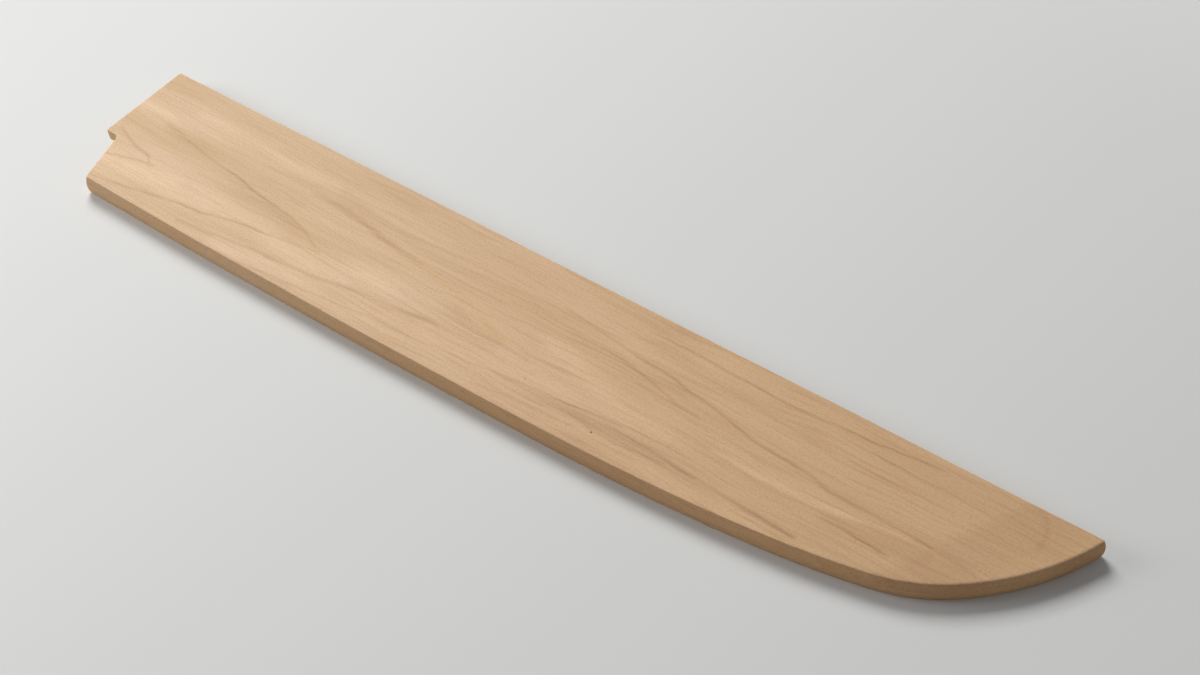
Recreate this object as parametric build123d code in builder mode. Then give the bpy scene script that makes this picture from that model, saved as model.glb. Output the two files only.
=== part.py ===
"""Wooden sheath for a long slicing knife.

A thick front board and a thin back board are glued over a core of three strips, which
run along the spine, along the cutting edge and round the nose. The space between the
strips is the blade's slot, open at the mouth. The sheath lies flat on its back board:
+X runs from the mouth to the nose, +Y points to the spine side, and z = 0 is the
underside.
"""
import os
from math import acos, asin, cos, degrees, radians, sin, tan

from build123d import *

# The layers, in millimetres
front_board_thickness = 3.2
core_thickness = 1.9  # also the height of the blade's slot
back_board_thickness = 1.1

# The flat face in plan, in millimetres and degrees
face_length = 299.2  # along the spine, from the mouth to the nose corner
face_width = 48.7  # at the widest place
spine_crown = 0.18  # how far the spine stands proud of a straight line
belly_radius, belly_turn = 3380.0, 1.27
taper_radius, taper_turn = 570.0, 5.72
rise_radius, rise_turn = 224.0, 6.27
shoulder_radius, shoulder_turn = 46.8, 25.5
nose_radius = 70.8
nose_corner_radius = 0.4

# The mouth
notch_from_spine = 30.2  # length of the square stretch beside the spine
notch_depth = 4.6
notch_radius = 1.8
notch_lip_radius = 0.5
heel_slant = 15.6  # how the stretch at the heel leans back, in degrees

# The flanks, rounded like a bow from face to face
flank_bulge = 0.75
front_edge_break = 0.4
back_edge_break = 0.8

# The core's strips, with the blade's slot between them
strip_width = 4.6
nose_setback = 4.5  # how much further the slot's point stays back from the nose
slot_point_radius = 1.0
nose_strip_length = 36.0

# Extra length that each cut runs past the wood
overrun = 20.0

core_bottom = back_board_thickness
core_top = core_bottom + core_thickness
thickness = core_top + front_board_thickness


def arc_end(start, heading, radius, turn):
    """Point where an arc that turns left ends."""
    x = start[0] + radius * (sin(heading + turn) - sin(heading))
    y = start[1] + radius * (cos(heading) - cos(heading + turn))
    return x, y


# The edge side's arcs run from the widest place, where x is 0, to the nose
widest_place = (0.0, -face_width)
forward_arcs = [
    (belly_radius, radians(belly_turn)),
    (taper_radius, radians(taper_turn)),
    (rise_radius, radians(rise_turn)),
    (shoulder_radius, radians(shoulder_turn)),
]
nose_start, nose_start_heading = widest_place, 0.0
for radius, turn in forward_arcs:
    nose_start = arc_end(nose_start, nose_start_heading, radius, turn)
    nose_start_heading += turn
nose_heading = acos(nose_start[1] / nose_radius + cos(nose_start_heading))
forward_arcs.append((nose_radius, nose_heading - nose_start_heading))
nose_x = arc_end(nose_start, nose_start_heading, *forward_arcs[-1])[0]
mouth_x = nose_x - face_length
blank_end_x = mouth_x - overrun

# The plane that puts the origin under the middle of the sheath
corner_arc_reach = nose_corner_radius - nose_corner_radius / tan(nose_heading / 2)
middle_x = (mouth_x + nose_x + corner_arc_reach + flank_bulge) / 2
middle_y = (spine_crown - face_width) / 2
sheath_plane = Plane((-middle_x, -middle_y, 0))

# The face before the mouth is cut, longer than the sheath
with BuildSketch(sheath_plane) as face_plan:
    with BuildLine():
        back_turn = degrees(asin(-blank_end_x / belly_radius))
        belly_back = JernArc(widest_place, (-1, 0), belly_radius, -back_turn)
        start, heading = widest_place, 0.0
        for radius, turn in forward_arcs:
            JernArc(start, (cos(heading), sin(heading)), radius, degrees(turn))
            start = arc_end(start, heading, radius, turn)
            heading += turn
        spine = SagittaArc((nose_x, 0), (blank_end_x, 0), -spine_crown)
        Line(spine @ 1, belly_back @ 1)
    make_face()
    fillet(face_plan.vertices().sort_by(Axis.X)[-1], nose_corner_radius)

# What the mouth's cuts take away
with BuildSketch(sheath_plane) as mouth_plan:
    heel_y = -face_width - overrun
    heel_x = mouth_x + notch_depth + (-notch_from_spine - heel_y) * tan(radians(heel_slant))
    with BuildLine():
        Polyline(
            (blank_end_x - overrun, overrun),
            (mouth_x, overrun),
            (mouth_x, -notch_from_spine),
            (mouth_x + notch_depth, -notch_from_spine),
            (heel_x, heel_y),
            (blank_end_x - overrun, heel_y),
            close=True,
        )
    make_face()
    notch_root = (mouth_x + notch_depth, -notch_from_spine)
    fillet(mouth_plan.vertices().sort_by_distance(notch_root)[0], notch_radius)
    notch_lip = (mouth_x, -notch_from_spine)
    fillet(mouth_plan.vertices().sort_by_distance(notch_lip)[0], notch_lip_radius)

# The slot follows the outline inside the strips, set back from the nose
with BuildSketch(sheath_plane) as slot_plan:
    with Locations((-nose_setback, 0)):
        add(sheath_plane.to_local_coords(face_plan.sketch))
    offset(amount=-strip_width)
    fillet(slot_plan.vertices().sort_by(Axis.X)[-1], slot_point_radius)

# The whole sheath as one solid body, from which each piece is parted
with BuildPart() as body:
    add(face_plan.sketch)
    extrude(amount=thickness)
    rim = Wire(face_plan.sketch.edges().sort_by(Axis.X)[1:])
    outward = (rim % 0).cross(Vector(0, 0, 1))
    with BuildSketch(Plane(rim @ 0, x_dir=outward, z_dir=-(rim % 0))):
        with BuildLine():
            ThreePointArc((0, 0), (flank_bulge, thickness / 2), (0, thickness))
            Line((0, thickness), (0, 0))
        make_face()
    sweep(path=rim)
    add(mouth_plan.sketch)
    extrude(amount=thickness, mode=Mode.SUBTRACT)
    fillet(body.faces().sort_by(Axis.Z)[-1].edges(), front_edge_break)
    fillet(body.faces().sort_by(Axis.Z)[0].edges(), back_edge_break)

front_joint = Plane.XY.offset(core_top)
back_joint = Plane.XY.offset(core_bottom)

with BuildPart() as front_board:
    add(body.part)
    split(bisect_by=front_joint)

with BuildPart() as back_board:
    add(body.part)
    split(bisect_by=back_joint, keep=Keep.BOTTOM)

with BuildPart() as core:
    add(body.part)
    split(bisect_by=front_joint, keep=Keep.BOTTOM)
    split(bisect_by=back_joint)
    with BuildSketch(back_joint):
        add(slot_plan.sketch)
    extrude(amount=core_thickness, mode=Mode.SUBTRACT)

# The planes that part the core's strips from each other
spine_wall = Plane((0, -strip_width - middle_y, 0), z_dir=(0, 1, 0))
nose_joint = Plane((nose_x - middle_x - nose_strip_length, 0, 0), z_dir=(1, 0, 0))

with BuildPart() as spine_strip:
    add(core.part)
    split(bisect_by=spine_wall)

with BuildPart() as nose_strip:
    add(core.part)
    split(bisect_by=spine_wall, keep=Keep.BOTTOM)
    split(bisect_by=nose_joint)

with BuildPart() as edge_strip:
    add(core.part)
    split(bisect_by=spine_wall, keep=Keep.BOTTOM)
    split(bisect_by=nose_joint, keep=Keep.BOTTOM)

front_board.part.label = "front_board"
back_board.part.label = "back_board"
spine_strip.part.label = "spine_strip"
edge_strip.part.label = "edge_strip"
nose_strip.part.label = "nose_strip"

os.makedirs("parts", exist_ok=True)
export_step(front_board.part, "parts/front_board.step")
export_step(back_board.part, "parts/back_board.step")
export_step(spine_strip.part, "parts/spine_strip.step")
export_step(edge_strip.part, "parts/edge_strip.step")
export_step(nose_strip.part, "parts/nose_strip.step")
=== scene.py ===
"""Bare wooden sheath for a long slicing knife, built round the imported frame."""
import math

import bpy
import numpy as np
from mathutils import Matrix, Vector


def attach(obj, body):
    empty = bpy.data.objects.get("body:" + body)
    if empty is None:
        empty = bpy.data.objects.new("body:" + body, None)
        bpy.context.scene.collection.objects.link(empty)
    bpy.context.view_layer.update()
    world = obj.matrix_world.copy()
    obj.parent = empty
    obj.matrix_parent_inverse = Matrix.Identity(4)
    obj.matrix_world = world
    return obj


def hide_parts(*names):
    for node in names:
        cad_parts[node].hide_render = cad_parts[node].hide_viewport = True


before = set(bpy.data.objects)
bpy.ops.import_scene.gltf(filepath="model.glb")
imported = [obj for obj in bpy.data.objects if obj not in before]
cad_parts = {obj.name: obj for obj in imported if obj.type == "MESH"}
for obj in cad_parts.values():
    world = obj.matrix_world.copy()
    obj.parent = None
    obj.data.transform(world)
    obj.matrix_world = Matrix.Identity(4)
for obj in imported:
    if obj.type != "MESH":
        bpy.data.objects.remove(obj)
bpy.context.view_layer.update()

MM = 0.001

# Layers, in millimetres
BACK_TOP = 1.1
CORE_TOP = 3.0
THICKNESS = 6.2

# The flat face in plan, in millimetres and degrees
FACE_LENGTH = 299.2
FACE_WIDTH = 48.7
SPINE_CROWN = 0.18
BLANK_OVERRUN = 20.0
BELLY_RADIUS = 3380.0
FORWARD_ARCS = [(3380.0, 1.27), (570.0, 5.72), (224.0, 6.27), (46.8, 25.5)]
NOSE_RADIUS = 70.8
NOSE_CORNER_RADIUS = 0.4
ARC_STEPS = 240

# The mouth
NOTCH_FROM_SPINE = 30.2
NOTCH_DEPTH = 4.6
NOTCH_ROOT_RADIUS = 1.8
NOTCH_LIP_RADIUS = 0.5
LIP_LEAN = 0.85  # how far the lip leans in from the front face to the back
LEAN_START = 12.0
HEEL_SLANT = math.radians(15.6)
SPINE_CORNER_RADIUS = 0.5
HEEL_CORNER_RADIUS = 0.9

# The flanks and edges
FLANK_BULGE = 0.75
FRONT_BREAK = 0.4
BACK_BREAK = 0.8
NOSE_BREAK_GROWTH = 0.9  # how much wider the front edge break gets near the nose
NOSE_BREAK_START = 90.0
SHARP_ANGLE = math.radians(32)

# The unevenness of hand sanding along the flanks, always inwards: a long and a short wave
WAVE_DEPTH = 0.12
LONG_WAVE, LONG_SHARE = 23.0, 0.3
SHORT_WAVE, SHORT_SHARE = 9.1, 0.2
SHORT_PHASE = 2.3  # the short wave's phase, for each unit of the long one's
SPINE_PHASE, BELLY_PHASE = 1.0, 4.0
WAVE_FADE, WAVE_STOP = 20.0, 4.0  # it fades over this length, and stops this far before the nose

# The core's strips
STRIP_WIDTH = 4.6
NOSE_SETBACK = 4.5
NOSE_STRIP_LENGTH = 36.0
WALL_MARGIN = 0.3

# Mesh density
BOARD_RUNGS, STRIP_RUNGS, NOSE_RUNGS = 150, 110, 40
NOSE_COLUMNS = 8
SPINE_CORNER_STEPS, LIP_STEPS, ROOT_STEPS, HEEL_CORNER_STEPS, TIP_STEPS = 4, 4, 6, 5, 4
SQUARE_POINTS, NOTCH_POINTS, SLANT_POINTS = 6, 1, 5  # inside the mouth's straight stretches
BREAK_STEPS, WALL_RINGS = 5, 5
END_CROWDING = 0.5  # how much closer together the rungs are at both ends
MOUTH_BLEND = 45.0  # how far the mouth's outline shapes the mesh behind it
NOSE_BLEND = 12.0
MEETING_ROUNDS = 8


def arc_run():
    """Belly points and headings from the widest place to the nose corner, with x from there."""
    x, y, heading = 0.0, -FACE_WIDTH, 0.0
    points, headings = [(x, y)], [heading]

    def walk(radius, turn):
        nonlocal x, y, heading
        for _ in range(ARC_STEPS):
            step = turn / ARC_STEPS
            x += radius * (math.sin(heading + step) - math.sin(heading))
            y += radius * (math.cos(heading) - math.cos(heading + step))
            heading += step
            points.append((x, y))
            headings.append(heading)

    for radius, turn in FORWARD_ARCS:
        walk(radius, math.radians(turn))
    walk(NOSE_RADIUS, math.acos(y / NOSE_RADIUS + math.cos(heading)) - heading)
    return np.array(points), np.array(headings)


forward, forward_heading = arc_run()
nose_x = forward[-1, 0]
nose_heading = forward_heading[-1]
mouth_x = nose_x - FACE_LENGTH
back_start = math.asin((mouth_x - BLANK_OVERRUN) / BELLY_RADIUS)
back_turn = np.linspace(back_start, 0, ARC_STEPS, endpoint=False)
backward = np.stack([BELLY_RADIUS * np.sin(back_turn),
                     -FACE_WIDTH + BELLY_RADIUS * (1 - np.cos(back_turn))], 1)
corner_reach = NOSE_CORNER_RADIUS - NOSE_CORNER_RADIUS / math.tan(nose_heading / 2)
middle = np.array([(mouth_x + nose_x + corner_reach + FLANK_BULGE) / 2,
                   (SPINE_CROWN - FACE_WIDTH) / 2])

belly = np.concatenate([backward, forward]) - middle
belly_heading = np.concatenate([back_turn, forward_heading])
MOUTH_X, NOSE_X = mouth_x - middle[0], nose_x - middle[0]
SPINE_Y = -middle[1]
BLANK_X = MOUTH_X - BLANK_OVERRUN


def belly_at(x):
    return np.interp(x, belly[:, 0], belly[:, 1])


def belly_normal(x):
    heading = np.interp(x, belly[:, 0], belly_heading)
    return np.stack([np.sin(heading), -np.cos(heading)], -1)


def spine_at(x):
    share = (x - BLANK_X) / (NOSE_X - BLANK_X)
    return SPINE_Y + 4 * SPINE_CROWN * share * (1 - share)


def smooth(x, low, high):
    t = np.clip((x - low) / (high - low), 0, 1)
    return t * t * (3 - 2 * t)


def wave(x, phase):
    """The unevenness of a hand-sanded edge, from 0 to 1."""
    long_part = LONG_SHARE * math.sin(x / LONG_WAVE + phase)
    return 0.5 + long_part + SHORT_SHARE * math.sin(x / SHORT_WAVE + SHORT_PHASE * phase)


class Rim:
    """A point of an outline: its place, and where the edge profiles of flank and mouth move it."""

    def __init__(self, place, flank=(0, 0), mouth=(0, 0), flank_share=0.0, tucked=None):
        self.place = np.array(place, float)
        self.flank, self.mouth = np.array(flank, float), np.array(mouth, float)
        self.flank_share = flank_share
        self.lean = 0.0
        self.tucked = self.flank if tucked is None else np.array(tucked, float)


def corner_arc(point, towards_before, towards_after, radius, steps):
    """Points and radial directions round a corner between two directions that lead away from it."""
    a = np.array(towards_before) / np.linalg.norm(towards_before)
    b = np.array(towards_after) / np.linalg.norm(towards_after)
    half = math.acos(float(a @ b)) / 2
    centre = np.array(point) + (a + b) / np.linalg.norm(a + b) * radius / math.sin(half)
    first = np.array(point) + a * radius / math.tan(half) - centre
    last = np.array(point) + b * radius / math.tan(half) - centre
    turn = math.atan2(first[0] * last[1] - first[1] * last[0], first @ last)
    arms = []
    for k in range(steps + 1):
        c, s = math.cos(turn * k / steps), math.sin(turn * k / steps)
        arms.append(np.array([first[0] * c - first[1] * s, first[0] * s + first[1] * c]))
    return [(centre + arm, arm / radius) for arm in arms]


def miter(one, other):
    """How far a corner moves, for each unit that both its sides move along their normals."""
    one, other = np.array(one, float), np.array(other, float)
    return (one + other) / (1 + one @ other)


# The mouth from the spine down to the heel
spine_corner = (MOUTH_X, spine_at(MOUTH_X))
notch_y = SPINE_Y - NOTCH_FROM_SPINE
lip = (MOUTH_X, notch_y)
root = (MOUTH_X + NOTCH_DEPTH, notch_y)


def slant_meets(line_at):
    """Where the slanted part of the mouth meets a line along the sheath."""
    x = root[0]
    for _ in range(MEETING_ROUNDS):
        x = root[0] + (root[1] - float(line_at(x))) * math.tan(HEEL_SLANT)
    return x, float(line_at(x))


heel = slant_meets(belly_at)
slant_normal = np.array([-math.cos(HEEL_SLANT), -math.sin(HEEL_SLANT)])
MOUTH_NORMAL, STEP_NORMAL = (-1.0, 0.0), (0.0, -1.0)


def straight(before, after, normal, count):
    """Points strictly between two points of the mouth."""
    return [Rim(before.place + (after.place - before.place) * k / (count + 1), mouth=normal)
            for k in range(1, count + 1)]


def edge_corner(arc, flank_normal, mouth_normal, flank_first):
    """A corner where a flank meets the mouth."""
    steps = len(arc) - 1
    return [Rim(place, flank_normal, mouth_normal, 1 - k / steps if flank_first else k / steps)
            for k, (place, _) in enumerate(arc)]


def mouth_side():
    """The mouth's outline from the spine to the heel."""
    down = (math.sin(HEEL_SLANT), -math.cos(HEEL_SLANT))
    heel_normal = belly_normal(heel[0])
    along_belly = (-heel_normal[1], heel_normal[0])
    at_spine = edge_corner(
        corner_arc(spine_corner, (1, 0), (0, -1), SPINE_CORNER_RADIUS, SPINE_CORNER_STEPS),
        (0, 1), MOUTH_NORMAL, True)
    at_lip = [Rim(place, mouth=miter(MOUTH_NORMAL, STEP_NORMAL))
              for place, _ in corner_arc(lip, (0, 1), (1, 0), NOTCH_LIP_RADIUS, LIP_STEPS)]
    at_root = [Rim(place, mouth=miter(STEP_NORMAL, slant_normal))
               for place, _ in corner_arc(root, (-1, 0), down, NOTCH_ROOT_RADIUS, ROOT_STEPS)]
    at_heel = edge_corner(
        corner_arc(heel, (-down[0], -down[1]), along_belly, HEEL_CORNER_RADIUS, HEEL_CORNER_STEPS),
        heel_normal, slant_normal, False)
    rims = at_spine + straight(at_spine[-1], at_lip[0], MOUTH_NORMAL, SQUARE_POINTS) + at_lip
    for rim in rims:
        rim.lean = float(smooth(-rim.place[1], -LEAN_START, -notch_y))
    rims += straight(at_lip[-1], at_root[0], STEP_NORMAL, NOTCH_POINTS) + at_root
    return rims + straight(at_root[-1], at_heel[0], slant_normal, SLANT_POINTS) + at_heel


def spread(count, start, end):
    """Places along the sheath, closer together at both ends."""
    share = np.linspace(0, 1, count + 1)
    eased = (1 - END_CROWDING) * share + END_CROWDING * (1 - np.cos(np.pi * share)) / 2
    return start + (end - start) * eased


def run(first, last, count, rim_at):
    """A side of an outline between two given points, which are its ends."""
    return [first, *map(rim_at, spread(count, first.place[0], last.place[0])[1:-1]), last]


def sanded(x, y, normal, phase):
    """A point of a flank's outline, moved in by as much as sanding has worn it."""
    after_mouth = smooth(x, MOUTH_X, MOUTH_X + WAVE_FADE)
    before_nose = 1 - smooth(x, NOSE_X - WAVE_FADE, NOSE_X - WAVE_STOP)
    dip = wave(x, phase) * WAVE_DEPTH * float(after_mouth * before_nose)
    return Rim(np.array([x, y]) - normal * dip, flank=normal, flank_share=1)


def spine_rim(x):
    return sanded(x, spine_at(x), np.array([0.0, 1.0]), SPINE_PHASE)


def belly_rim(x):
    return sanded(x, belly_at(x), belly_normal(x), BELLY_PHASE)


def nose_corner(steps):
    """The rounded corner of the nose, from the spine to the belly."""
    along_spine, along_belly = (-1.0, 0.0), (-math.cos(nose_heading), -math.sin(nose_heading))
    tucked = miter((0, 1), belly_normal(NOSE_X))
    arc = corner_arc((NOSE_X, SPINE_Y), along_spine, along_belly, NOSE_CORNER_RADIUS, steps)
    return [Rim(place, outward, flank_share=1, tucked=tucked) for place, outward in arc]


def flank_offset(z):
    """How far the bowed flank stands out beyond the flat face."""
    half = THICKNESS / 2
    return FLANK_BULGE * (1 - ((z - half) / half) ** 2)


FLANK_TILT = 2 * math.atan(2 * FLANK_BULGE / THICKNESS)


def edge_break(radius, wall_tilt):
    """(offset, drop) pairs round an edge break, from the flat face to the wall."""
    turn = math.pi / 2 - wall_tilt
    reach = radius * math.tan(turn / 2)
    angles = [turn * k / BREAK_STEPS for k in range(BREAK_STEPS + 1)]
    return [(radius * math.sin(angle) - reach, radius * (1 - math.cos(angle))) for angle in angles]


def edge_breaks(radius):
    """An edge break's pairs on the flank and on the mouth, side by side."""
    return list(zip(edge_break(radius, FLANK_TILT), edge_break(radius, 0)))


def levels(bottom, top):
    """A layer's rings, upwards, each as (flank offset, z), (mouth offset, z) and whether it
    belongs to the front edge break."""
    back = edge_breaks(BACK_BREAK) if bottom == 0 else []
    front = edge_breaks(FRONT_BREAK) if top == THICKNESS else []
    low = [z for _, z in back[-1]] if back else [bottom, bottom]
    high = [top - drop for _, drop in front[-1]] if front else [top, top]
    rings = [(flank, mouth, False) for flank, mouth in back]
    for k in range(1 if back else 0, WALL_RINGS if front else WALL_RINGS + 1):
        z, z_mouth = (a + (b - a) * k / WALL_RINGS for a, b in zip(low, high))
        rings.append(((flank_offset(z), z), (0.0, z_mouth), False))
    for flank, mouth in reversed(front):
        rings.append(((flank[0], top - flank[1]), (mouth[0], top - mouth[1]), True))
    return rings


def ring_point(rim, level):
    """Where a point of the outline comes to be at one level."""
    (flank, z_flank), (mouth, z_mouth), is_break = level
    if is_break:
        growth = 1 + NOSE_BREAK_GROWTH * float(smooth(rim.place[0], NOSE_BREAK_START, NOSE_X))
        z_flank = THICKNESS - (THICKNESS - z_flank) * growth
        flank = flank * growth if flank < 0 else min(flank * growth, flank_offset(z_flank))
    flank_way = rim.flank if flank > 0 else rim.tucked
    place = rim.place + flank_way * flank + rim.mouth * mouth
    z = rim.flank_share * z_flank + (1 - rim.flank_share) * z_mouth
    return (place[0] + LIP_LEAN * rim.lean * (1 - z / THICKNESS), place[1], z)


def coons(first, last, low, high):
    """A grid that fills four sides: first and last rungs, and the sides that join them."""
    rows, columns = len(low), len(first)
    grid = np.zeros((rows, columns, 3))
    share = np.linspace(0, 1, columns)[:, None]
    first, last = np.array(first), np.array(last)
    for i in range(rows):
        line = (1 - share) * low[i] + share * high[i]
        start = (1 - share) * first[0] + share * first[-1]
        end = (1 - share) * last[0] + share * last[-1]
        ahead, left = low[i][0] - low[0][0], low[-1][0] - low[i][0]
        near = max(0.0, 1 - ahead / MOUTH_BLEND) ** 2
        far = max(0.0, 1 - left / NOSE_BLEND) ** 2
        grid[i] = line + near * (first - start) + far * (last - end)
    return grid


def cap(vertices, base, rows, columns, flipped):
    """Fills the outline whose vertices start at base with a grid, and returns the grid's faces."""
    index = np.zeros((rows, columns), int)
    across, between = np.arange(columns), np.arange(1, rows - 1)
    index[0] = base + across
    index[1:-1, -1] = base + columns - 1 + between
    index[-1] = base + 2 * columns + rows - 3 - across
    index[1:-1, 0] = base + 2 * (columns + rows - 2) - between
    at = np.array(vertices)
    grid = coons(at[index[0]], at[index[-1]], at[index[:, 0]], at[index[:, -1]])
    inside = grid[1:-1, 1:-1].reshape(-1, 3)
    index[1:-1, 1:-1] = (len(vertices) + np.arange(len(inside))).reshape(rows - 2, columns - 2)
    vertices.extend(tuple(place) for place in inside)
    quads = [(index[i, j], index[i, j + 1], index[i + 1, j + 1], index[i + 1, j])
             for i in range(rows - 1) for j in range(columns - 1)]
    return [tuple(int(v) for v in (quad[::-1] if flipped else quad)) for quad in quads]


def solid(name, sides, rings, node):
    """A closed mesh from four outline sides and the rings of its edge profile."""
    first, high, last, low = sides  # first and last run from low to high
    loop = first + high[1:] + last[::-1][1:] + low[::-1][1:-1]
    count = len(loop)
    vertices = [ring_point(rim, level) for level in rings for rim in loop]
    faces = []
    for k in range(len(rings) - 1):
        for i in range(count):
            j = (i + 1) % count
            faces.append((k * count + i, k * count + j, (k + 1) * count + j, (k + 1) * count + i))
    for level, flipped in ((0, True), (len(rings) - 1, False)):
        faces += cap(vertices, level * count, len(low), len(first), flipped)
    mesh = bpy.data.meshes.new(name)
    mesh.from_pydata([tuple(c * MM for c in v) for v in vertices], [], faces)
    mesh.validate()
    mesh.polygons.foreach_set("use_smooth", [True] * len(mesh.polygons))
    mesh.update()
    mesh.set_sharp_from_angle(angle=SHARP_ANGLE)
    piece = bpy.data.objects.new(name, mesh)
    bpy.context.scene.collection.objects.link(piece)
    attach(piece, "root")
    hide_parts(node)
    return piece


def board_sides():
    """Both boards have the whole outline."""
    first = mouth_side()
    last = nose_corner(len(first) - 1)
    low = run(first[0], last[0], BOARD_RUNGS, spine_rim)
    high = run(first[-1], last[-1], BOARD_RUNGS, belly_rim)
    return first, high, last, low


# The slot's two walls, inside the strips, and where they meet each other and the belly
wall_line = belly - np.array([NOSE_SETBACK, 0])
wall_line = wall_line - STRIP_WIDTH * np.stack([np.sin(belly_heading), -np.cos(belly_heading)], 1)
WALL_Y = SPINE_Y - STRIP_WIDTH
JOINT_X = NOSE_X - NOSE_STRIP_LENGTH
SLOT_POINT = (float(np.interp(WALL_Y, wall_line[ARC_STEPS:, 1], wall_line[ARC_STEPS:, 0])), WALL_Y)
STRIP_END = (float(np.interp(WALL_Y, belly[ARC_STEPS:, 1], belly[ARC_STEPS:, 0])), WALL_Y)


def wall_at(x):
    return float(np.interp(x, wall_line[:, 0], wall_line[:, 1]))


def wall_rim(x):
    return Rim((x, wall_at(x)))


def on_belly(place):
    return Rim(place, belly_normal(place[0]), flank_share=1)


def crossing(inside, outside, count):
    """Points across a strip, from the slot's wall to the belly."""
    inside, outside = np.array(inside, float), np.array(outside, float)
    rims = [Rim(inside + (outside - inside) * k / count) for k in range(count)]
    return rims + [on_belly(outside)]


def joint_crossing(count):
    """Where the edge strip and the nose strip meet."""
    return crossing((JOINT_X, wall_at(JOINT_X)), (JOINT_X, belly_at(JOINT_X)), count)


def edge_strip_sides():
    corner = Rim(slant_meets(wall_at))
    first = [corner] + [rim for rim in mouth_side() if rim.place[1] < corner.place[1] - WALL_MARGIN]
    last = joint_crossing(len(first) - 1)
    inside = run(first[0], last[0], STRIP_RUNGS, wall_rim)
    outside = run(first[-1], last[-1], STRIP_RUNGS, belly_rim)
    return first, outside, last, inside


def spine_strip_sides():
    first = [rim for rim in mouth_side() if rim.place[1] > WALL_Y + WALL_MARGIN]
    first.append(Rim((MOUTH_X, WALL_Y)))
    tip = nose_corner(TIP_STEPS)
    below_tip = np.linspace(tip[-1].place[0], STRIP_END[0], len(first) - TIP_STEPS)[1:-1]
    last = [*tip, *map(belly_rim, below_tip), on_belly(STRIP_END)]
    low = run(first[0], last[0], STRIP_RUNGS, spine_rim)
    high = run(first[-1], last[-1], STRIP_RUNGS, lambda x: Rim((x, WALL_Y)))
    return first, high, last, low


def nose_strip_sides():
    first = joint_crossing(NOSE_COLUMNS)
    last = crossing(SLOT_POINT, STRIP_END, NOSE_COLUMNS)
    inside = run(first[0], last[0], NOSE_RUNGS, wall_rim)
    outside = run(first[-1], last[-1], NOSE_RUNGS, belly_rim)
    return first, outside, last, inside


def linear(red, green, blue):
    """A colour written in sRGB, as the linear colour that a socket takes."""
    values = [c / 12.92 if c <= 0.04045 else ((c + 0.055) / 1.055) ** 2.4
              for c in (red, green, blue)]
    return (*values, 1.0)


# The wood's noises: scale along and across the grain for each millimetre, detail and roughness
NOISES = {
    "drift": (0.018, 0.05, 2.0, 0.5),
    "cloud": (0.017, 0.085, 2.0, 0.5),
    "fibre": (0.055, 1.7, 2.6, 0.55),
    "silk": (0.35, 6.5, 2.0, 0.5),
    "pore": (0.9, 9.0, 1.0, 0.5),
    "speck": (1.5, 2.1, 3.0, 0.65),
    "fray": (0.12, 2.6, 3.0, 0.6),
    "jitter": (0.22, 0.6, 2.0, 0.6),
}
SEEDS = {"drift": 0.0, "cloud": 5.0, "fray": 1.0, "jitter": 4.0}  # the same at every depth


class Graph:
    """Short calls for the nodes of a material."""

    def __init__(self, tree):
        self.tree = tree

    def _put(self, socket, value):
        if isinstance(value, bpy.types.NodeSocket):
            self.tree.links.new(value, socket)
        else:
            socket.default_value = value

    def math(self, operation, a, b=0.0, c=0.0, clamp=False):
        node = self.tree.nodes.new("ShaderNodeMath")
        node.operation, node.use_clamp = operation, clamp
        for socket, value in zip(node.inputs, (a, b, c)):
            self._put(socket, value)
        return node.outputs[0]

    def step(self, value, low, high, to_low=0.0, to_high=1.0):
        node = self.tree.nodes.new("ShaderNodeMapRange")
        node.interpolation_type = "SMOOTHSTEP"
        for name, v in (("Value", value), ("From Min", low), ("From Max", high),
                        ("To Min", to_low), ("To Max", to_high)):
            self._put(node.inputs[name], v)
        return node.outputs["Result"]

    def vector(self, x, y, z):
        node = self.tree.nodes.new("ShaderNodeCombineXYZ")
        for socket, value in zip(node.inputs, (x, y, z)):
            self._put(socket, value)
        return node.outputs[0]

    def noise(self, vector, detail, roughness):
        node = self.tree.nodes.new("ShaderNodeTexNoise")
        self._put(node.inputs["Vector"], vector)
        node.inputs["Scale"].default_value = 1.0
        node.inputs["Detail"].default_value = detail
        node.inputs["Roughness"].default_value = roughness
        return node.outputs["Fac"]

    def grain(self, name, x, y, z):
        """One of the wood's noises, stretched along the grain."""
        along, across, detail, roughness = NOISES[name]
        depth = SEEDS[name] if name in SEEDS else self.math("MULTIPLY", z, across)
        x, y = self.math("MULTIPLY", x, along), self.math("MULTIPLY", y, across)
        return self.noise(self.vector(x, y, depth), detail, roughness)

    def mix(self, share, a, b, blend="MIX"):
        node = self.tree.nodes.new("ShaderNodeMix")
        node.data_type, node.blend_type = "RGBA", blend
        self._put(node.inputs["Factor"], share)
        self._put(node.inputs[6], a)
        self._put(node.inputs[7], b)
        return node.outputs[2]

    def tint(self, share, colour, tint):
        return self.mix(share, colour, tint, "MULTIPLY")

    def square_gap(self, x, y, centre):
        """The squared distance from a centre in plan."""
        dx, dy = self.math("SUBTRACT", x, centre[0]), self.math("SUBTRACT", y, centre[1])
        return self.math("MULTIPLY_ADD", dx, dx, self.math("MULTIPLY", dy, dy))

    def curve(self, value, points):
        """A smooth curve through points, in which both coordinates run from 0 to 1."""
        node = self.tree.nodes.new("ShaderNodeFloatCurve")
        self._put(node.inputs["Value"], value)
        dots = node.mapping.curves[0].points
        dots[0].location, dots[-1].location = points[0], points[-1]
        for place in points[1:-1]:
            dots.new(*place)
        for dot in dots:
            dot.handle_type = "AUTO_CLAMPED"
        node.mapping.update()
        return node.outputs["Value"]


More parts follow.
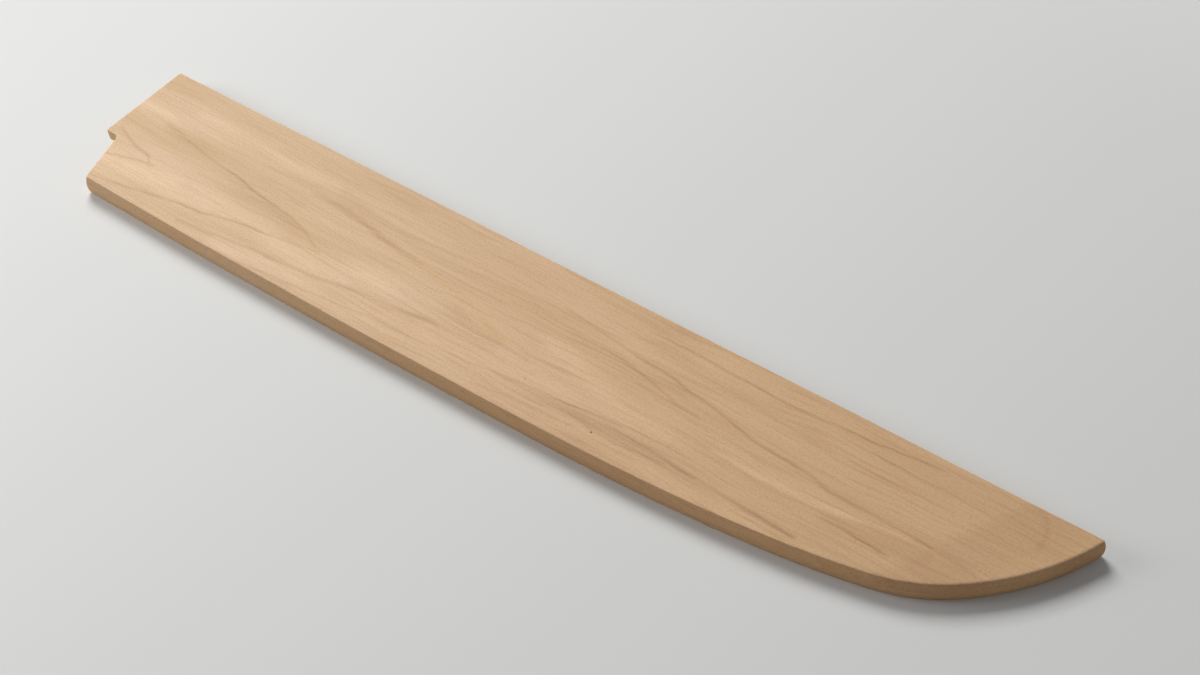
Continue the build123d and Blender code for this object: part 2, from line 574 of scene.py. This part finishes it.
# How each kind of streak multiplies the wood's colour where it is strongest
TINTS = {
    "brown": (0.76, 0.66, 0.55, 1.0),
    "mauve": (0.66, 0.56, 0.52, 1.0),
    "yellow": (0.98, 0.935, 0.8, 1.0),
    "pale": (1.2, 1.25, 1.35, 1.0),
    "tan": (0.88, 0.84, 0.76, 1.0),
}

# Growth-ring lines and streaks on the face: tint, half-width, how far the haze beside it
# spreads (negative towards the edge side), and its course as (x, y, strength), in millimetres
GRAIN_LINES = [
    ("brown", 0.55, -4.5, [
        (-145, 6.3, 0.15), (-135, 5.6, 0.35), (-125, 3.7, 0.6), (-115, 1.8, 0.7), (-105, 0.7, 0.9),
        (-95.6, -1.1, 1.0), (-87, -2.2, 0.95), (-80, -3.2, 0.6), (-76.3, -4.3, 0.4),
        (-69, -7.5, 0.3)]),
    ("brown", 0.45, 1.5, [
        (-141, -21.9, 0.35), (-134, -21.0, 0.55), (-128, -19.9, 0.75), (-120, -18.2, 0.7),
        (-110, -16.3, 0.9), (-102.7, -15.4, 0.95), (-99, -14.4, 0.5), (-91.3, -12.6, 0.95),
        (-83, -11.6, 0.6), (-75, -10.4, 0.45), (-67, -9.0, 0.4)]),
    ("yellow", 0.9, -2.0, [
        (-82, -3.0, 0.3), (-76, -4.4, 0.8), (-72.7, -5.7, 0.8), (-66.6, -8.7, 0.7)]),
    ("brown", 0.6, -1.5, [
        (-147, -2.6, 0.4), (-142, -4.6, 0.7), (-136, -6.5, 0.7), (-133, -6.9, 0.75),
        (-129.1, -9.4, 0.65)]),
    ("brown", 0.55, 1.0, [
        (-142.7, -12.9, 0.45), (-136, -11.0, 0.65), (-132, -10.0, 0.65), (-128.6, -9.5, 0.6)]),
    ("brown", 0.7, 1.6, [
        (-106, -21.3, 0.5), (-95, -20.1, 0.5), (-85.6, -18.6, 0.55), (-80, -17.9, 0.85),
        (-73, -17.6, 0.8), (-67, -17.0, 0.5), (-60, -16.0, 0.65), (-50, -14.4, 0.6),
        (-43.4, -13.6, 0.45), (-33, -12.7, 0.6), (-28, -11.8, 0.8), (-20, -11.2, 0.25),
        (-6, -10.7, 0.2)]),
    ("brown", 0.4, -0.8, [
        (-82, -23.9, 0.5), (-71.3, -22.7, 0.6), (-62, -21.8, 0.5), (-46.3, -20.1, 0.4),
        (-37, -18.9, 0.5), (-30, -18.7, 0.75), (-26, -18.5, 0.7), (-20, -17.7, 0.35),
        (-11, -17.1, 0.4), (-4, -16.2, 0.4)]),
    ("brown", 0.4, 0.6, [(-39, -14.2, 0.4), (-33, -13.9, 0.5), (-28.4, -13.6, 0.4)]),
    ("brown", 1.1, 2.6, [
        (-82, 7.8, 0.3), (-73.4, 7.8, 0.6), (-67.7, 7.3, 0.7), (-57, 5.6, 0.8), (-50, 4.4, 0.6),
        (-40, 3.4, 0.3)]),
    ("yellow", 1.3, -3.0, [
        (-52, 4.4, 0.5), (-42, 3.5, 0.8), (-34, 2.4, 1.0), (-27, 0.9, 0.8), (-20.6, -0.6, 0.8),
        (-14.9, -2.5, 0.9), (-9, -5.0, 0.9), (-5.2, -6.4, 0.8)]),
    ("brown", 0.5, 1.4, [
        (1, 12.4, 0.3), (11, 11.4, 0.6), (19.4, 10.3, 0.4), (25, 9.5, 0.6), (34.4, 8.9, 1.0),
        (43, 7.3, 0.9), (50, 6.3, 0.7), (57, 4.8, 0.9), (60.7, 4.0, 1.0), (67, 2.7, 0.5),
        (76, 2.1, 1.0), (82, 1.7, 0.6), (90, -0.1, 0.7), (100, 0.0, 0.35), (107, -0.4, 0.8),
        (117, -0.6, 1.0)]),
    ("brown", 0.6, 0.0, [
        (6.6, 6.3, 0.3), (16, 6.6, 0.45), (24, 6.1, 0.6), (30, 5.0, 0.6), (36, 3.8, 0.5),
        (44, 1.8, 0.5), (50, 1.3, 0.4)]),
    ("brown", 0.4, 0.8, [
        (25, 18.4, 0.3), (33.7, 18.4, 0.8), (44, 18.1, 0.6), (54, 17.9, 0.5), (64, 17.6, 0.5),
        (75, 18.0, 0.5), (83.6, 18.9, 0.9), (89.6, 19.1, 1.0), (97.9, 20.0, 1.0),
        (101.4, 20.4, 0.9), (109, 21.0, 0.3)]),
    ("mauve", 0.35, 0.0, [(92, 16.1, 0.4), (97, 15.7, 0.6), (107, 15.8, 0.4), (125, 15.1, 0.35)]),
    ("brown", 0.3, 0.0, [(88, 11.1, 0.35), (95.7, 10.9, 0.45), (101, 11.1, 0.3)]),
    ("mauve", 0.45, -3.2, [
        (-2, -15.7, 0.35), (7.3, -14.9, 0.45), (14, -14.1, 0.5), (21, -13.7, 0.95),
        (27, -12.7, 0.8), (36, -12.1, 0.5)]),
    ("mauve", 0.8, 2.2, [
        (33, -13.6, 0.4), (40, -14.1, 0.6), (50, -14.6, 0.75), (55.7, -15.0, 1.0), (60, -15.2, 0.8),
        (64.3, -15.5, 0.4), (75, -16.1, 0.7), (84.3, -16.3, 0.9), (88.8, -16.4, 0.8)]),
    ("brown", 0.35, -0.8, [
        (24, -16.1, 0.4), (36, -17.1, 0.4), (45, -16.4, 0.6), (51, -15.8, 0.6)]),
    ("brown", 0.4, -1.2, [
        (-2.7, -21.6, 0.35), (7.3, -20.4, 0.4), (17, -19.9, 0.45), (26, -18.7, 0.4)]),
    ("brown", 0.45, 0.0, [(73, -18.2, 0.45), (80, -18.3, 0.5), (87, -18.4, 0.4)]),
    ("mauve", 0.35, 0.0, [
        (92, -7.9, 0.25), (98.6, -8.1, 0.6), (105, -8.4, 0.85), (109.3, -8.6, 0.5)]),
    ("mauve", 0.8, 1.0, [(120, -0.7, 0.35), (128.6, -1.6, 0.3)]),
    # Broad, soft streaks
    ("pale", 1.0, 2.4, [
        (60, -5.8, 0.4), (75, -5.6, 0.8), (90, -4.6, 1.0), (101, -3.0, 0.9), (112, -1.2, 0.5)]),
    ("pale", 1.6, 0.0, [(-150, 8.8, 0.75), (-138, 8.6, 0.6), (-126, 8.2, 0.25), (-115, 8.0, 0.1)]),
    ("pale", 2.0, 0.0, [
        (-132, 14.6, 0.25), (-122, 14.4, 0.5), (-108, 14.0, 0.45), (-92, 13.0, 0.4),
        (-78, 13.5, 0.25)]),
    ("pale", 5.0, 0.0, [
        (-148, -15, 0.7), (-138, -14.5, 1.0), (-120, -12.5, 0.9), (-105, -11.5, 0.7),
        (-90, -10.5, 0.6), (-75, -13, 0.8), (-62, -12.5, 0.75), (-52, -12, 0.5)]),
    ("pale", 4.2, 0.0, [(-62, -12.0, 0.4), (-47, -7.5, 0.8), (-38, -8.0, 0.5), (-28, -8.0, 0.15)]),
    ("pale", 2.4, 0.0, [
        (-94, -22.0, 0.3), (-82, -20.7, 0.8), (-68, -19.3, 0.8), (-55, -18.2, 0.5)]),
    ("pale", 4.5, 0.0, [
        (-62, -20, 0.3), (-45, -18, 0.5), (-25, -16.5, 0.55), (-5, -14.5, 0.5), (10, -11.5, 0.35),
        (22, -9, 0.2)]),
    ("pale", 3.5, 0.0, [
        (2, 0.5, 0.2), (14, -2.0, 0.5), (26, -5.5, 0.6), (36, -7.5, 0.5), (48, -8.5, 0.2)]),
    ("tan", 4.5, 0.0, [
        (-152, 19.5, 0.8), (-120, 20, 0.7), (-90, 20, 0.7), (-70, 20, 0.9), (-40, 19, 0.8),
        (-10, 19, 0.6), (20, 20, 0.4), (40, 21, 0.2)]),
    ("tan", 2.5, 0.0, [
        (-75, 10.5, 0.3), (-45, 9.5, 0.5), (-20, 9.0, 0.4), (0, 9.5, 0.3), (20, 12, 0.2)]),
    ("tan", 3.0, 0.0, [
        (-148, 2.0, 0.5), (-130, 0.0, 0.5), (-110, -3.0, 0.5), (-95, -5.0, 0.7), (-84, -5.5, 0.7),
        (-74, -7.0, 0.4)]),
    ("tan", 3.5, 0.0, [(-136, 4.0, 0.3), (-122, 4.6, 0.75), (-110, 4.0, 0.55), (-95, 3.0, 0.3)]),
    ("tan", 2.4, 0.0, [(-24, -4.0, 0.3), (-12, -7.0, 0.7), (-6, -7.5, 0.4)]),
    ("tan", 3.0, 0.0, [(92, -8.0, 0.3), (107, -5.5, 0.7), (118, -4.0, 0.5)]),
    ("mauve", 2.3, 0.0, [
        (8, -15.6, 0.15), (20, -15.4, 0.35), (32, -15.2, 0.42), (45, -15.2, 0.4), (56, -15.6, 0.3),
        (70, -17, 0.15)]),
]
CURVE_X, CURVE_Y = 300.0, 50.0  # the stretch that a course's curve covers, centred on the origin
LINE_END = 1.5
LINE_EDGE = 1.6  # how far a line's soft edge reaches, in half-widths
HAZE_STRENGTH = 0.4
FACE_FADE = 0.5  # how high above the core the face's own figure is at full strength
JITTER_WIDTH = 1.1

# Where the fraying starts and ends, and how much it leaves of a line and of a rubbed edge's painted
# highlight
FRAY_RANGE, FRAYED_LINE, FRAYED_RUB_AND_HIGHLIGHT = (0.3, 0.6), 0.45, 0.35

# Near the nose the figure turns: a greyer patch with a slanting border, and a curl of grain in it
PATCH_SLANT = 0.5
PATCH_START, PATCH_END, PATCH_STRENGTH = (115.5, 120.0), (127.0, 141.0), 0.22
CURL_CENTRE, CURL_RADIUS, CURL_HALF_WIDTH, CURL_STRENGTH = (127.5, 15.0), 10.3, 1.4, 0.25
CURL_START_X, CURL_START_Y = (129.5, 132.65), (10.0, 14.0)

# Tiny knots on the face: place, radius and strength
KNOTS = [((31.3, -17.7), 0.42, 0.85), ((7.1, -12.9), 0.4, 0.3)]
KNOT_COLOUR = linear(0.25, 0.15, 0.09)

# The two tones, each at the mouth, where the wood is paler and pinker, and at the nose, where
# it is yellower
TAN_TONES = linear(0.812, 0.674, 0.506), linear(0.79, 0.635, 0.465)
PALE_TONES = linear(0.857, 0.74, 0.608), linear(0.86, 0.71, 0.545)
TONE_RANGE = (-150.0, 90.0)
CLOUD_RANGE = (0.30, 0.70, 0.3, 0.7)

# Rings of a flat-sawn board: nested arches that open towards the mouth
GRAIN_BEND = 7.0
PITH_SLOPE, PITH_Y = 0.0516, -6.1
ARCH_ROUNDING, ARCH_LENGTH, ARCH_SINK, ARCH_DRIFT = 6.0, 5.0, -11.0, 20.0
# Their broad bands and fine lines: scale and seed, detail and roughness, range, and strength
RINGS = [
    ((0.052, 3.1, 7.7), (3.0, 0.6), (0.56, 0.72), 0.75),
    ((0.21, 9.1, 2.2), (2.0, 0.5), (0.62, 0.74), 0.6),
]
RING_FADE, RINGS_ON_FACE = 1.0, 0.22

# Fibres, stronger towards the nose, and the finest marks: range and strength
FIBRE_RANGE, FIBRE_GROWTH = (0.42, 0.75), (-90.0, 40.0, 0.22, 0.38)
FINE_MARKS = [("silk", 0.5, 0.72, 0.15), ("pore", 0.60, 0.74, 0.09), ("speck", 0.42, 0.68, 0.46)]

# Painted shade darkens the sides by their tilt; end grain is darker still, its own colour
PAINTED_SIDE_SHADE, END_SHADE = (0.6, 0.4, 0.0, 0.55), (0.75, 0.97, 0.0, 0.2)

# Edges, known by their tilt: paler as a painted highlight, and smoother where handling rubbed them
EDGE_START, EDGE_END = (0.42, 0.6), (0.99, 0.93)
PAINTED_HIGHLIGHT_STRENGTH = 0.9

# The surface
ROUGHNESS, FIBRE_ROUGHNESS, RUB_ROUGHNESS, CORE_ROUGHNESS = 0.50, 0.18, -0.12, 0.08
SPECULAR = 0.35
PORE_HEIGHT, SILK_HEIGHT = -0.6, -0.5
BUMP_STRENGTH, BUMP_DISTANCE = 0.18, 0.06 * MM


def streaks(g, x, frayed):
    """How strongly each tint's lines and streaks mark the face."""
    course_x = g.math("MULTIPLY_ADD", x, 1 / CURVE_X, 0.5, clamp=True)
    shares = {}
    for tint, half_width, haze, course in GRAIN_LINES:
        places = [(px / CURVE_X + 0.5, py / CURVE_Y + 0.5) for px, py, _ in course]
        centre = g.curve(course_x, places)
        ends = [(course[0][0] - LINE_END, 0, 0.0), *course, (course[-1][0] + LINE_END, 0, 0.0)]
        strength = g.curve(course_x, [(px / CURVE_X + 0.5, amount) for px, _, amount in ends])
        above = g.math("SUBTRACT", frayed, g.math("MULTIPLY_ADD", centre, CURVE_Y, -CURVE_Y / 2))
        shape = g.step(g.math("ABSOLUTE", above), half_width * LINE_EDGE, 0.0)
        if haze:
            beside = g.math("MULTIPLY", above, math.copysign(1.0, haze))
            outer, inner = g.step(beside, abs(haze), 0.0), g.step(beside, -half_width, 0.0)
            soft = g.math("MULTIPLY", outer, inner)
            shape = g.math("MAXIMUM", shape, g.math("MULTIPLY", soft, HAZE_STRENGTH))
        line = g.math("MULTIPLY", shape, strength)
        shares[tint] = g.math("MAXIMUM", shares[tint], line) if tint in shares else line
    return shares


def nose_figure(g, colour, x, y, frayed, upper):
    """Adds the patch and the curl near the nose."""
    slant = g.math("MULTIPLY_ADD", frayed, -PATCH_SLANT, x)
    patch = g.math("MULTIPLY", g.step(slant, *PATCH_START), g.step(slant, *reversed(PATCH_END)))
    patch = g.math("MULTIPLY", patch, PATCH_STRENGTH)
    colour = g.tint(g.math("MULTIPLY", patch, upper), colour, TINTS["mauve"])
    off_curl = g.math("SUBTRACT", g.math("SQRT", g.square_gap(x, y, CURL_CENTRE)), CURL_RADIUS)
    curl = g.step(g.math("ABSOLUTE", off_curl), CURL_HALF_WIDTH, 0.0, 0.0, CURL_STRENGTH)
    curl = g.math("MULTIPLY", curl, g.step(x, *CURL_START_X))
    curl = g.math("MULTIPLY", curl, g.step(y, *CURL_START_Y))
    return g.tint(g.math("MULTIPLY", curl, upper), colour, TINTS["brown"])


def wood(name, extra_roughness=0.0):
    """Bare, fine-sanded magnolia wood. The grain runs along X through every piece."""
    material = bpy.data.materials.new(name)
    material.use_nodes = True
    tree = material.node_tree
    g = Graph(tree)
    shader = tree.nodes["Principled BSDF"]
    place = tree.nodes.new("ShaderNodeSeparateXYZ")
    tree.links.new(tree.nodes.new("ShaderNodeTexCoord").outputs["Object"], place.inputs[0])
    x, y, z = (g.math("MULTIPLY", metres, 1 / MM) for metres in place.outputs)

    drift = g.math("SUBTRACT", g.grain("drift", x, y, z), 0.5)
    warped = g.math("ADD", y, g.math("MULTIPLY", drift, GRAIN_BEND))
    jitter = g.math("SUBTRACT", g.grain("jitter", x, y, z), 0.5)
    frayed = g.math("ADD", y, g.math("MULTIPLY", jitter, JITTER_WIDTH))
    fibre, fray = g.grain("fibre", x, warped, z), g.grain("fray", x, y, z)
    marks = {"silk": g.grain("silk", x, warped, z), "pore": g.grain("pore", x, warped, z),
             "speck": g.grain("speck", x, y, z)}

    along = g.step(x, *TONE_RANGE)
    cloud = g.step(g.grain("cloud", x, warped, z), *CLOUD_RANGE)
    colour = g.mix(cloud, g.mix(along, *TAN_TONES), g.mix(along, *PALE_TONES))

    across = g.math("SUBTRACT", warped, g.math("MULTIPLY_ADD", x, PITH_SLOPE, PITH_Y))
    arm = g.math("SQRT", g.math("MULTIPLY_ADD", across, across, ARCH_ROUNDING))
    arch = g.math("MULTIPLY_ADD", arm, ARCH_LENGTH, x)
    arch = g.math("MULTIPLY_ADD", z, ARCH_SINK, arch)
    arch = g.math("MULTIPLY_ADD", drift, ARCH_DRIFT, arch)
    backward = g.step(z, CORE_TOP + RING_FADE, CORE_TOP, RINGS_ON_FACE, 1.0)
    for (scale, *seed), texture, (low, high), strength in RINGS:
        ring = g.noise(g.vector(g.math("MULTIPLY", arch, scale), *seed), *texture)
        ring = g.math("MULTIPLY", g.step(ring, low, high), strength)
        colour = g.tint(g.math("MULTIPLY", ring, backward), colour, TINTS["brown"])

    fibrous = g.math("MULTIPLY", g.step(fibre, *FIBRE_RANGE), g.step(x, *FIBRE_GROWTH))
    colour = g.tint(fibrous, colour, TINTS["mauve"])
    for mark, low, high, strength in FINE_MARKS:
        colour = g.tint(g.step(marks[mark], low, high, 0.0, strength), colour, TINTS["brown"])

    upper = g.step(z, CORE_TOP, CORE_TOP + FACE_FADE)
    break_up = g.math("MULTIPLY", g.step(fray, *FRAY_RANGE, FRAYED_LINE, 1.0), upper)
    for tint, share in streaks(g, x, frayed).items():
        colour = g.tint(g.math("MULTIPLY", share, break_up), colour, TINTS[tint])
    colour = nose_figure(g, colour, x, y, frayed, upper)
    for centre, radius, strength in KNOTS:
        spot = g.step(g.square_gap(x, y, centre), radius ** 2, 0.0, 0.0, strength)
        colour = g.mix(g.math("MULTIPLY", spot, upper), colour, KNOT_COLOUR)

    normal = tree.nodes.new("ShaderNodeSeparateXYZ")
    tree.links.new(tree.nodes.new("ShaderNodeNewGeometry").outputs["True Normal"], normal.inputs[0])
    upright, endways = (g.math("ABSOLUTE", normal.outputs[axis]) for axis in ("Z", "X"))
    # Painted shade on the sides, by their tilt, and the end grain's own darker colour
    painted_side_shade_and_end_grain = g.math("ADD", g.step(upright, *PAINTED_SIDE_SHADE), g.step(endways, *END_SHADE))
    colour = g.tint(painted_side_shade_and_end_grain, colour, TINTS["brown"])
    # Painted highlight: the edge breaks are tinted paler by their tilt, and the same mask makes
    # them smoother
    edge = g.math("MULTIPLY", g.step(upright, *EDGE_START), g.step(upright, *EDGE_END))
    rub_and_painted_highlight = g.math("MULTIPLY", edge, g.step(fray, *FRAY_RANGE, FRAYED_RUB_AND_HIGHLIGHT, 1.0))
    colour = g.tint(g.math("MULTIPLY", rub_and_painted_highlight, PAINTED_HIGHLIGHT_STRENGTH), colour, TINTS["pale"])
    tree.links.new(colour, shader.inputs["Base Color"])

    rough = g.math("MULTIPLY_ADD", fibre, FIBRE_ROUGHNESS, ROUGHNESS + extra_roughness)
    rough = g.math("MULTIPLY_ADD", rub_and_painted_highlight, RUB_ROUGHNESS, rough)
    tree.links.new(rough, shader.inputs["Roughness"])
    shader.inputs["Specular IOR Level"].default_value = SPECULAR
    height = g.math("MULTIPLY", marks["silk"], SILK_HEIGHT)
    height = g.math("MULTIPLY_ADD", marks["pore"], PORE_HEIGHT, height)
    bump = tree.nodes.new("ShaderNodeBump")
    bump.inputs["Strength"].default_value = BUMP_STRENGTH
    bump.inputs["Distance"].default_value = BUMP_DISTANCE
    tree.links.new(height, bump.inputs["Height"])
    tree.links.new(bump.outputs[0], shader.inputs["Normal"])
    return material


materials = {"board_wood": wood("board_wood"), "core_wood": wood("core_wood", CORE_ROUGHNESS)}
PIECES = [
    ("front_board", board_sides, (CORE_TOP, THICKNESS), "board_wood"),
    ("back_board", board_sides, (0, BACK_TOP), "board_wood"),
    ("spine_strip", spine_strip_sides, (BACK_TOP, CORE_TOP), "core_wood"),
    ("edge_strip", edge_strip_sides, (BACK_TOP, CORE_TOP), "core_wood"),
    ("nose_strip", nose_strip_sides, (BACK_TOP, CORE_TOP), "core_wood"),
]
for node, sides, (bottom, top), slot in PIECES:
    piece = solid(f"{node}_wood", sides(), levels(bottom, top), node)
    piece.data.materials.append(materials[slot])

# The stage, in metres: a floor just under the sheath
FLOOR_SIZE, FLOOR_DROP = 6.0, 0.02 * MM
FLOOR_COLOUR, FLOOR_ROUGHNESS = linear(0.86, 0.86, 0.85), 0.8
GROUND_COLOUR = linear(0.86, 0.86, 0.855)
GROUND_FADE = (0.17, 0.42)
DAYLIGHT_COLOUR, DAYLIGHT_STRENGTH = (0.93, 0.96, 1.0, 1.0), 0.21

# Soft lamps: place, target, size and power
LAMPS = [
    ("key", (-0.86, 0.63, 1.12), (-0.05, 0, 0), 0.7, 18.0),
    ("mouth_side", (-0.55, -0.34, 0.34), (-0.15, 0, 0), 0.35, 1.9),
]

floor_mesh = bpy.data.meshes.new("floor")
corners = [(-1, -1), (1, -1), (1, 1), (-1, 1)]
floor_mesh.from_pydata([(x * FLOOR_SIZE, y * FLOOR_SIZE, -FLOOR_DROP) for x, y in corners],
                       [], [(0, 1, 2, 3)])
floor = bpy.data.objects.new("floor", floor_mesh)
bpy.context.scene.collection.objects.link(floor)
floor_material = bpy.data.materials.new("floor")
floor_material.use_nodes = True
floor_shader = floor_material.node_tree.nodes["Principled BSDF"]
floor_shader.inputs["Base Color"].default_value = FLOOR_COLOUR
floor_shader.inputs["Roughness"].default_value = FLOOR_ROUGHNESS
floor_mesh.materials.append(floor_material)


def seen_directly(g):
    """1 for what the camera sees, straight, by reflection or through glass, and 0 otherwise."""
    path = g.tree.nodes.new("ShaderNodeLightPath").outputs
    seen = g.math("MAXIMUM", path["Is Camera Ray"], path["Is Glossy Ray"])
    return g.math("MAXIMUM", seen, path["Is Transmission Ray"])


def fade(g, share, near, far, output):
    """Runs an output from one shader to another."""
    mix = g.tree.nodes.new("ShaderNodeMixShader")
    for socket, value in zip(mix.inputs, (share, near, far)):
        g.tree.links.new(value, socket)
    g.tree.links.new(mix.outputs[0], output.inputs["Surface"])


# Away from the sheath the floor turns into an even pale ground, beyond the lamps' pools
g = Graph(floor_material.node_tree)
ground = g.tree.nodes.new("ShaderNodeEmission")
ground.inputs["Color"].default_value = GROUND_COLOUR
distance = g.tree.nodes.new("ShaderNodeVectorMath")
distance.operation = "LENGTH"
g.tree.links.new(g.tree.nodes.new("ShaderNodeTexCoord").outputs["Object"], distance.inputs[0])
away = g.step(distance.outputs["Value"], *GROUND_FADE)
fade(g, g.math("MULTIPLY", away, seen_directly(g)), floor_shader.outputs[0], ground.outputs[0],
     g.tree.nodes["Material Output"])

world = bpy.data.worlds.new("studio")
bpy.context.scene.world = world
world.use_nodes = True
g = Graph(world.node_tree)
daylight, backdrop = g.tree.nodes["Background"], g.tree.nodes.new("ShaderNodeBackground")
daylight.inputs["Color"].default_value = DAYLIGHT_COLOUR
daylight.inputs["Strength"].default_value = DAYLIGHT_STRENGTH
backdrop.inputs["Color"].default_value = GROUND_COLOUR
fade(g, seen_directly(g), daylight.outputs[0], backdrop.outputs[0], g.tree.nodes["World Output"])


def softbox(name, place, target, size, power):
    light = bpy.data.lights.new(name, "AREA")
    light.shape, light.size, light.energy = "SQUARE", size, power
    lamp = bpy.data.objects.new(name, light)
    lamp.location = place
    lamp.rotation_euler = (Vector(target) - Vector(place)).to_track_quat("-Z", "Y").to_euler()
    bpy.context.scene.collection.objects.link(lamp)


for lamp in LAMPS:
    softbox(*lamp)

# The camera, at the photograph's viewing angle
AZIMUTH, ELEVATION, ROLL = (math.radians(a) for a in (37.785, 47.5, 2.344))
DISTANCE = 0.51375
AIM = Vector((0.01455, 0.00905, 0.00632))
SENSOR_WIDTH, LENS = 36.0, 60.0
CLIP_START, CLIP_END = 0.01, 50.0
back = Vector((math.sin(AZIMUTH) * math.cos(ELEVATION), -math.cos(AZIMUTH) * math.cos(ELEVATION),
               math.sin(ELEVATION)))
camera_data = bpy.data.cameras.new("camera")
camera_data.sensor_width, camera_data.lens = SENSOR_WIDTH, LENS
camera_data.clip_start, camera_data.clip_end = CLIP_START, CLIP_END
camera = bpy.data.objects.new("camera", camera_data)
bpy.context.scene.collection.objects.link(camera)
turn = (-back).to_track_quat("-Z", "Y").to_matrix() @ Matrix.Rotation(-ROLL, 3, "Z")
camera.matrix_world = Matrix.Translation(AIM + back * DISTANCE) @ turn.to_4x4()
bpy.context.scene.camera = camera
bpy.context.scene.view_settings.view_transform = "Standard"
